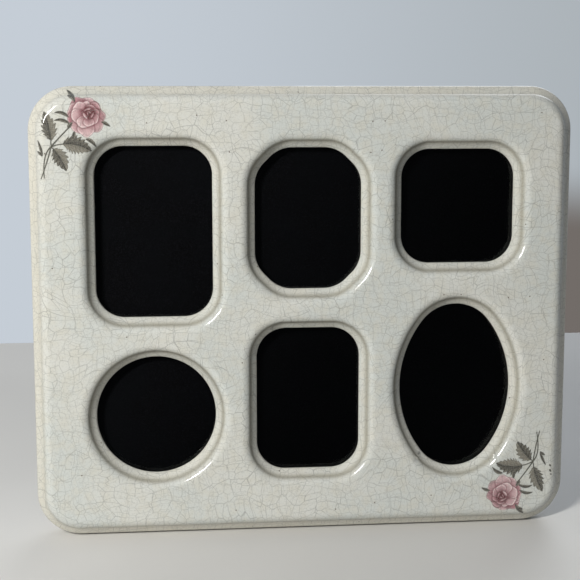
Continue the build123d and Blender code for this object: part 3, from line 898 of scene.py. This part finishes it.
# Each leaf or sepal: start, bend, end, half width, teeth, seed of its streaks, and perhaps its lit side
leaves = [
    ((0.1, 3.0), (-0.2, 9.0), (-3.0, 16.2), 3.2, 6, 1.0, -1),
    ((5.6, 1.3), (11.5, 2.0), (18.6, -2.0), 3.9, 8, 2.4, -1),
    ((1.0, -1.0), (4.6, -4.6), (6.8, -11.2), 3.3, 6, 4.1),
    ((-4.0, -4.2), (-4.6, -0.6), (-6.2, 3.2), 0.62, 0, 0.4),
    ((-4.0, -4.4), (-5.2, -2.9), (-6.4, -2.0), 0.55, 0, 1.4),
]
sepals = [
    ((8.6, 13.4), (5.6, 16.6), (1.8, 15.6), 0.75, 0, 2.2),
    ((9.0, 10.4), (5.2, 13.4), (1.6, 12.0), 0.75, 0, 3.2),
    ((11.4, 20.4), (10.2, 23.6), (7.4, 26.2), 0.95, 0, 0.9),
    ((10.9, 22.4), (9.3, 22.8), (7.8, 23.8), 0.7, 0, 1.9),
    ((23.2, 11.4), (25.2, 11.0), (27.4, 9.2), 0.75, 0, 2.9),
    ((15.9, 3.5), (18.8, 3.4), (20.8, -0.4), 0.85, 0, 3.9),
    ((10.9, 7.2), (10.6, 5.2), (10.1, 3.4), 0.75, 0, 4.9),
    ((8.0, 8.4), (8.6, 10.2), (10.2, 11.2), 0.95, 0, 5.4),
]

# Scraps of transfer that strayed beside one spray
scraps = [
    ((-8.2, 2.9), (-8.05, 3.5), (-8.9, 4.1), 0.45, 0, 1.0),
    ((-8.0, 5.4), (-7.85, 6.15), (-8.7, 6.9), 0.5, 0, 1.0),
    ((-8.4, 7.6), (-8.0, 8.1), (-8.6, 8.6), 0.3, 0, 1.0),
]


def paint_spray(paint, strayed):
    """Stems, leaves, rose and sepals, and what strayed beside them."""
    for stem in stems:
        paint_stem(paint, *stem)
    for leaf in leaves:
        paint_leaf(paint, *leaf)
    for petal in outer_petals:
        paint_petal(paint, outer_curl, *petal)
    for petal in inner_petals:
        paint_petal(paint, inner_curl, *petal)
    for leaf in sepals + strayed:
        paint_leaf(paint, *leaf)


film_step = 0.2
film_low = (-10.5, -16.5)
film_high = (29.0, 28.0)
film_lift = 0.035
slope_probe = 0.05
least_cover = 0.02


def film_piece(name, junction, turn_degrees, strayed):
    """One spray as a thin film, its mesh kept only where there is paint."""
    x = np.arange(film_low[0], film_high[0], film_step)
    y = np.arange(film_low[1], film_high[1], film_step)
    grid_x, grid_y = np.meshgrid(x, y)
    places = np.column_stack([grid_x.ravel(), grid_y.ravel()])
    paint = Paint(places)
    paint_spray(paint, strayed)
    columns = len(x)
    shown = (paint.cover > least_cover).reshape(grid_x.shape)
    rows, firsts = np.nonzero(shown[:-1, :-1] | shown[1:, :-1] | shown[:-1, 1:] | shown[1:, 1:])
    corner = rows * columns + firsts
    quads = np.column_stack([corner, corner + 1, corner + 1 + columns, corner + columns])
    used, renumbered = np.unique(quads, return_inverse=True)
    quads = renumbered.reshape(quads.shape)
    angle = radians(turn_degrees)
    spin = np.array([[cos(angle), -sin(angle)], [sin(angle), cos(angle)]])
    on_face = places[used] @ spin.T + np.array(junction)
    level, flat = surface_at(on_face)
    shifts = np.eye(2) * slope_probe
    rise = [(surface_at(on_face + shift)[0] - level) / slope_probe for shift in shifts]
    steep = np.sqrt(1 + rise[0] ** 2 + rise[1] ** 2)
    ways = np.column_stack([-rise[0], -rise[1], np.ones(len(level))]) / steep[:, None]
    points = np.column_stack([on_face, level]) + ways * film_lift
    film = make_piece(name, body_plane, points.tolist(), quads.tolist(), glaze_paint, "frame")
    store(film, "flat_mm", np.column_stack([flat, np.zeros(len(flat))]))
    store(film, "paint", np.column_stack([paint.colour[used], paint.cover[used]]))


film_piece("rose_spray_left", junction=(-118.8, 188.0), turn_degrees=0.0, strayed=[])
film_piece("rose_spray_right", junction=(113.3, 32.0), turn_degrees=187.6, strayed=scraps)


# Other pieces: softened CAD nodes, each with a procedural material


def glass_material():
    """Clear float glass, a little green: what lies behind shows, and it mirrors by Fresnel."""
    nodes = Nodes("clear_glass")
    mirror = nodes.add("BsdfGlossy", Roughness=0.01)
    through = nodes.add("BsdfTransparent", Color=(0.975, 0.985, 0.98, 1.0))
    bend = nodes.add("Fresnel", IOR=1.5)
    mixed = nodes.add("MixShader", bend.outputs[0], through.outputs[0], mirror.outputs[0])
    return nodes.show(mixed.outputs[0], "Material Output")


def card_material():
    """Black mount card, with fine fibres and a faint cloud."""
    nodes = Nodes("black_card")
    fibre = nodes.grain(1.5, 3.0, 0.7)
    cloud = nodes.grain(0.05)
    colour = nodes.mottle(srgb(2, 2, 3), srgb(26, 26, 30), fibre, 0.42, 0.8)
    colour = nodes.mottle(colour, srgb(7, 9, 12), cloud, 0.35, 0.7, 0.5)
    return nodes.coat(colour, fibre, 0.03, fibre, (0.75, 0.9), Specular_IOR_Level=0.06)


def hardboard_material():
    """Brown pressed fibre with darker flecks."""
    nodes = Nodes("hardboard")
    fibre = nodes.grain(1.6, 6.0, 0.7)
    fleck = nodes.grain(5.0, 3.0, 0.6)
    colour = nodes.mottle(srgb(98, 70, 46), srgb(143, 108, 74), fibre)
    colour = nodes.mottle(colour, srgb(70, 50, 34), fleck, 0.55, 0.75, 0.5)
    return nodes.coat(colour, fibre, 0.06, fleck, (0.55, 0.8))


def flock_material():
    """Black flocked paper: short fibres that catch a soft light, and a few pressed marks."""
    nodes = Nodes("flocked_paper")
    fibre = nodes.grain(3.4, 5.0, 0.75)
    nap = nodes.grain(0.06, 3.0, 0.6)
    colour = nodes.mottle(srgb(20, 20, 21), srgb(42, 42, 43), fibre)
    colour = nodes.mottle(colour, srgb(50, 50, 51), nap, 0.45, 0.7, 0.45)
    nodes.set(Sheen_Weight=0.25, Sheen_Roughness=0.5, Specular_IOR_Level=0.2)
    return nodes.coat(colour, fibre, 0.12, nap, (0.85, 0.95))


def metal_material(name, bright, dark, roughness):
    """Plated metal: clouded, with fine scratches and duller patches."""
    nodes = Nodes(name)
    cloud = nodes.grain(0.35, 3.0, 0.6)
    stretched = nodes.vector_math("MULTIPLY", nodes.coordinates(), (0.8, 7.0, 7.0))
    scratch = nodes.noise(stretched, 1.0, 4.0, 0.65)
    colour = nodes.mottle(dark, bright, cloud)
    colour = nodes.mottle(colour, dark, scratch, 0.55, 0.75, 0.25)
    return nodes.coat(colour, scratch, 0.012, cloud, (roughness, roughness + 0.16), Metallic=1.0)


def lacquer_material():
    """Black lacquer on steel, a little uneven, rubbed grey in places."""
    nodes = Nodes("hinge_steel")
    cloud = nodes.grain(0.4, 3.0, 0.6)
    rubbed = nodes.grain(1.8, 4.0, 0.7)
    colour = nodes.mottle(srgb(34, 34, 35), srgb(50, 50, 51), cloud)
    colour = nodes.mottle(colour, srgb(92, 92, 92), rubbed, 0.6, 0.75, 0.5)
    return nodes.coat(colour, cloud, 0.02, rubbed, (0.26, 0.42))


def plastic_material():
    nodes = Nodes("plug_plastic")
    cloud = nodes.grain(0.5, 3.0)
    colour = nodes.mottle(srgb(206, 203, 193), srgb(220, 218, 210), cloud)
    return nodes.coat(colour, cloud, 0.02, cloud, (0.35, 0.5))


zinc = metal_material("screw_zinc", srgb(198, 200, 202), srgb(168, 170, 174), 0.28)
hinge_steel = lacquer_material()
rivet_steel = metal_material("rivet_steel", srgb(202, 201, 198), srgb(172, 171, 168), 0.26)
button_steel = metal_material("button_steel", srgb(204, 204, 202), srgb(176, 177, 176), 0.28)
brass = metal_material("eyelet_brass", srgb(212, 178, 104), srgb(158, 122, 62), 0.26)
flock = flock_material()
hardboard = hardboard_material()

# Each CAD node: its material, and where edges are softened, their width and the steps across them
looks = {
    "glass_pane": (glass_material(),),
    "mount_card": (card_material(),),
    "back_board": (hardboard, 0.2, 2),
    "easel_leg": (hardboard, 0.25, 2),
    "back_covering": (flock,),
    "leg_covering": (flock,),
    "rim_plugs": (plastic_material(),),
    "button_screws": (zinc, 0.35, 2),
    "hinge_board_leaf": (hinge_steel, 0.15, 2),
    "hinge_leg_leaf": (hinge_steel, 0.15, 2),
    "hinge_pin": (hinge_steel, 0.2, 2),
    "board_rivets": (rivet_steel, 0.5, 3),
    "leg_rivets": (rivet_steel, 0.5, 3),
    "board_eyelet": (brass, 0.22, 2),
    "leg_eyelet": (brass, 0.22, 2),
}
for button in ("top_left", "top_right", "bottom_left", "bottom_right", "side_left", "side_right"):
    looks["turn_button_" + button] = (button_steel, 0.28, 2)


def soften(piece, width, segments):
    """Rounds a CAD node's edges without touching its mesh."""
    piece.modifiers.new("weld", "WELD").merge_threshold = least_gap
    bevel = piece.modifiers.new("bevel", "BEVEL")
    bevel.width = width * MM
    bevel.segments = segments
    bevel.limit_method = "ANGLE"
    bevel.angle_limit = radians(40)
    bevel.use_clamp_overlap = True
    piece.modifiers.new("normals", "WEIGHTED_NORMAL").keep_sharp = False
    piece.data.polygons.foreach_set("use_smooth", [True] * len(piece.data.polygons))


for node_name, (material, *edge) in looks.items():
    node = frame["nodes"][node_name]
    node.data.materials.clear()
    node.data.materials.append(material)
    if edge:
        soften(node, *edge)


# Stay ribbon, woven satin pulled straight between its eyelets


def ribbon_material():
    nodes = Nodes("ribbon_satin")
    woven = nodes.attribute("woven_mm")
    bands = {"wave_type": "BANDS", "Vector": woven}
    threads = nodes.add("TexWave", bands_direction="X", Scale=0.8, Distortion=0.6, **bands)
    picks = nodes.add("TexWave", bands_direction="Y", Scale=1.1, Distortion=0.4, **bands)
    cloth = nodes.math("ADD", threads.outputs["Fac"], nodes.math("MULTIPLY", picks.outputs["Fac"], 0.6))
    colour = nodes.mottle(srgb(16, 16, 17), srgb(44, 44, 46), cloth, 0.2, 1.3)
    nodes.set(Sheen_Weight=0.3, Sheen_Roughness=0.35)
    return nodes.coat(colour, cloth, 0.05, nodes.noise(woven, 1.4, 3.0), (0.3, 0.42))


leg_front = -barrel_radius + leaf_thickness + leg_covering_thickness + leg_thickness
ribbon_middle = ribbon_lift + ribbon_thickness / 2
board_start = hinge_height - ribbon_board_reach
ribbon_step = 0.8
ribbon_columns = 21
bend_points = 9
selvedge = 0.15


def ribbon_path():
    """Middle line of the ribbon seen from the side, its two turns rounded, in metres."""
    corners = [
        body_plane @ Vector((0, board_start - ribbon_tab, -ribbon_middle)),
        body_plane @ Vector((0, board_start, -ribbon_middle)),
        leg_plane @ Vector((0, -ribbon_leg_reach, leg_front + ribbon_middle)),
        leg_plane @ Vector((0, ribbon_tab - ribbon_leg_reach, leg_front + ribbon_middle)),
    ]
    path = [corners[0]]
    for before, corner, after in zip(corners, corners[1:], corners[2:]):
        way_in = (corner - before).normalized()
        way_out = (after - corner).normalized()
        cut = ribbon_bend * MM * tan(way_in.angle(way_out) / 2)
        start_point = corner - way_in * cut
        end_point = corner + way_out * cut
        for share in np.linspace(0, 1, bend_points):
            low = start_point.lerp(corner, share)
            high = corner.lerp(end_point, share)
            path.append(low.lerp(high, share))
    path.append(corners[-1])
    return path, corners


def even_path(path, step):
    """The same line with points at most a step apart."""
    points = [path[0]]
    for before, after in zip(path, path[1:]):
        count = max(1, ceil((after - before).length / step))
        points += [before.lerp(after, number / count) for number in range(1, count + 1)]
    return points


def build_ribbon():
    path, corners = ribbon_path()
    line = even_path(path, ribbon_step * MM)
    half_width = ribbon_width / 2
    half_thickness = ribbon_thickness / 2
    crossways = np.linspace(half_width - selvedge, selvedge - half_width, ribbon_columns)
    section = [(half_width, 0.0)] + [(side, half_thickness) for side in crossways]
    section += [(-half_width, 0.0)] + [(side, -half_thickness) for side in crossways[::-1]]
    count = len(section)
    points = []
    woven = []
    faces = []
    run = 0.0
    for index, point in enumerate(line):
        before = line[max(index - 1, 0)]
        after = line[min(index + 1, len(line) - 1)]
        rise = (after - before).normalized().cross(across)
        run += (point - before).length / MM
        points += [point + across * side * MM + rise * height * MM for side, height in section]
        woven += [(side, run, 0.0) for side, height in section]
    for low in range(0, len(points) - count, count):
        high = low + count
        for corner in range(count):
            beside = (corner + 1) % count
            faces.append((low + corner, low + beside, high + beside, high + corner))
    faces.append(tuple(range(count)))
    faces.append(tuple(range(len(points) - 1, len(points) - count - 1, -1)))
    ribbon = make_piece("satin_ribbon", Matrix.Identity(4), points, faces, ribbon_material())
    store(ribbon, "woven_mm", woven)
    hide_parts("stay_ribbon")
    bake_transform(ribbon)


build_ribbon()


# Camera, fitted to the photograph: its place in millimetres and its turns from square on in degrees

camera_place = Vector((-71.9, 208.9, 644.8))
camera_turns = (8.107, -5.774, -0.864)
focal_pixels = 1333.4
picture_pixels = 580
table_edge_row = 338

turn = Euler([radians(angle) for angle in camera_turns], "XYZ").to_matrix()
picture_axes = Matrix((across, -face_normal.cross(across), -face_normal)).transposed()
right, down, forward = (picture_axes @ turn.row[index] for index in range(3))
view = Matrix((right, -down, -forward)).transposed().to_4x4()
view.translation = body_plane @ camera_place
camera_data = bpy.data.cameras.new("camera")
camera_data.sensor_width = 36
camera_data.lens = focal_pixels / picture_pixels * camera_data.sensor_width
camera_data.clip_start = 0.01
camera = add_object("camera", camera_data)
camera.matrix_world = view
bpy.context.scene.camera = camera


# Table, which ends where the camera sees its far edge; a pale wall shows beyond it

table_front = -0.45
table_half_width = 1.5


def table_material():
    nodes = Nodes("table_paint")
    cloud = nodes.grain(0.006, 3.0)
    grain = nodes.grain(0.9, 3.0)
    colour = nodes.mottle(srgb(214, 212, 208), srgb(207, 205, 201), cloud, 0.35, 0.65)
    return nodes.coat(colour, grain, 0.02, grain, (0.5, 0.6))


edge_ray = forward + down * ((table_edge_row - picture_pixels / 2) / focal_pixels)
table_back = view.translation.y - view.translation.z * edge_ray.y / edge_ray.z
table_corners = [
    (-table_half_width, table_front, 0),
    (table_half_width, table_front, 0),
    (table_half_width, table_back, 0),
    (-table_half_width, table_back, 0),
]
table = make_piece("table", Matrix.Identity(4), table_corners, [(0, 1, 2, 3)], table_material())


# Lamps: a narrow key lamp in front and a soft one behind


def area_lamp(name, direction, distance, size, power, colour, roll=0.0):
    """A lamp that looks at the middle of the face, its direction given across, up and out of the face."""
    target = body_plane @ Vector((0, middle, frame_depth))
    way = (body_plane.to_3x3() @ Vector(direction).normalized()).normalized()
    data = bpy.data.lights.new(name, "AREA")
    data.shape = "RECTANGLE"
    data.size, data.size_y = size
    data.energy = power
    data.color = colour
    aim = way.to_track_quat("Z", "Y").to_matrix().to_4x4() @ Matrix.Rotation(roll, 4, "Z")
    add_object(name, data).matrix_world = Matrix.Translation(target + way * distance) @ aim


area_lamp(
    "key",
    direction=(-0.75, 0.5, 1.0),
    distance=0.9,
    size=(0.04, 0.3),
    power=7.9,
    colour=(1.0, 0.99, 0.96),
    roll=radians(-34),
)
area_lamp(
    "back_fill",
    direction=(0.5, 0.9, -1.0),
    distance=1.6,
    size=(1.0, 1.0),
    power=8.0,
    colour=(0.94, 0.97, 1.0),
)


# Room

room_colour = (0.80, 0.88, 1.0, 1.0)
room_strength = 0.03
ceiling_strength = 0.3
wall_left = srgb(197, 205, 214)
wall_right = srgb(170, 177, 182)
wall_shadow = srgb(114, 108, 104)


def room():
    """A dim, cool room under a lighter ceiling. What looks behind the object sees a pale wall.

    An area of the wall low at the right is dark, in place of the shadow that the object throws there.
    """
    nodes = Nodes("room", "worlds")
    parts = nodes.add("SeparateXYZ", nodes.add("TexCoord").outputs["Generated"]).outputs
    light = nodes.tree.nodes["Background"]
    ceiling = nodes.ramp(parts["Z"], 0.25, 0.75, room_strength, ceiling_strength)
    nodes.fill(light, {"Color": room_colour, "Strength": ceiling})
    behind = nodes.ramp(parts["Y"], -0.1, 0.3)
    shadow = nodes.math("MULTIPLY", nodes.ramp(parts["X"], 0.1, 0.25), behind)
    shadow = nodes.math("MULTIPLY", shadow, nodes.ramp(parts["Z"], -0.29, -0.24, 1.0, 0.0))
    # Painted light: the wall is lighter at the left and darker at the right, as the light falls off across
    # it
    colour = nodes.mottle(wall_left, wall_right, parts["X"], -0.1, 0.4)
    wall = nodes.add("Background", Color=nodes.mix(shadow, colour, wall_shadow))
    rays = nodes.add("LightPath").outputs
    mirrored = nodes.math("MAXIMUM", rays["Is Glossy Ray"], rays["Is Transmission Ray"])
    mirrored = nodes.math("MULTIPLY", mirrored, behind)
    shown = nodes.math("MAXIMUM", rays["Is Camera Ray"], mirrored)
    mixed = nodes.add("MixShader", shown, light.outputs[0], wall.outputs[0])
    bpy.context.scene.world = nodes.show(mixed.outputs[0], "World Output")


room()
bpy.context.scene.view_settings.view_transform = "Standard"
